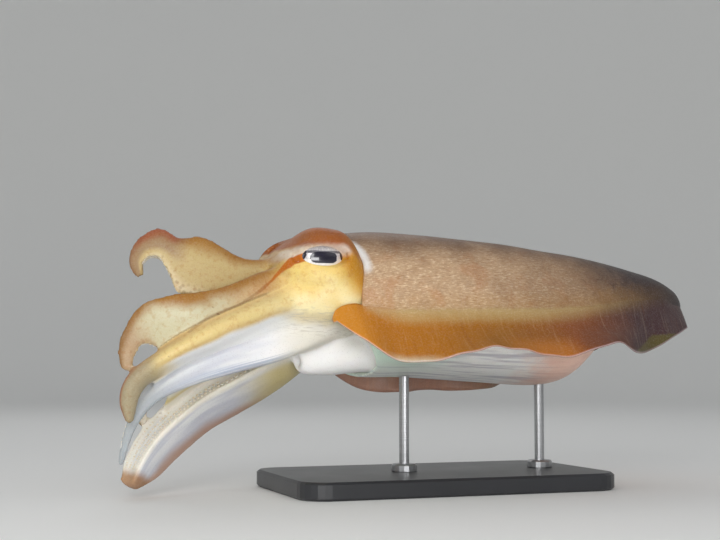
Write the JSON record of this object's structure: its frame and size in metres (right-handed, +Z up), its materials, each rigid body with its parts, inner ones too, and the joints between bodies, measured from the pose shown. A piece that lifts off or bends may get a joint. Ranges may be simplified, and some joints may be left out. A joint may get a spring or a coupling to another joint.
{
  "type": "common cuttlefish model",
  "caption": "Life-size common cuttlefish, swimming with its arms spread forward and down and its fins rippling, held over a flat base by slim rods.",
  "frame": {"origin": "middle of the display base's underside", "axes": "+Z up; +X from the arms to the tail, the longest extent; the animal's left side faces -Y"},
  "size_m": [0.4314, 0.1696, 0.1791],
  "materials": {
    "mantle_skin": "sandy tan skin with fine pale flecks, moist satin",
    "fin_skin": "ochre to purple-brown skin, moist satin",
    "head_skin": "yellow-cream skin with rust brown on top, moist satin",
    "arm_skin": "cream and ochre skin, moist satin",
    "ventral_arm_skin": "white skin with bluish shading, moist satin",
    "pale_skin": "white skin, moist satin",
    "eye_glass": "polished, silvery iris and dark W-shaped pupil",
    "beak_horn": "dark brown horn",
    "stand_base_lacquer": "satin black",
    "stand_rod_steel": "brushed"
  },
  "bodies": {
    "root": {"arm_left_1_middle": "arm_skin", "arm_left_1_root": "arm_skin", "arm_left_1_tip": "arm_skin", "arm_left_2_middle": "arm_skin", "arm_left_2_root": "arm_skin", "arm_left_2_tip": "arm_skin", "arm_left_3_middle": "arm_skin", "arm_left_3_root": "arm_skin", "arm_left_3_tip": "arm_skin", "arm_left_4_middle": "ventral_arm_skin", "arm_left_4_root": "ventral_arm_skin", "arm_left_4_tip": "ventral_arm_skin", "arm_right_1_middle": "arm_skin", "arm_right_1_root": "arm_skin", "arm_right_1_tip": "arm_skin", "arm_right_2_middle": "arm_skin", "arm_right_2_root": "arm_skin", "arm_right_2_tip": "arm_skin", "arm_right_3_middle": "arm_skin", "arm_right_3_root": "arm_skin", "arm_right_3_tip": "arm_skin", "arm_right_4_middle": "ventral_arm_skin", "arm_right_4_root": "ventral_arm_skin", "arm_right_4_tip": "ventral_arm_skin", "beak": "beak_horn", "eye_left": "eye_glass", "eye_right": "eye_glass", "fin_left_front": "fin_skin", "fin_left_middle": "fin_skin", "fin_left_rear": "fin_skin", "fin_right_front": "fin_skin", "fin_right_middle": "fin_skin", "fin_right_rear": "fin_skin", "funnel": "pale_skin", "head": "head_skin", "mantle": "mantle_skin", "mouth": "pale_skin", "neck": "head_skin", "stand_base": "stand_base_lacquer", "stand_rod_front": "stand_rod_steel", "stand_rod_rear": "stand_rod_steel"}
  },
  "joints": []
}
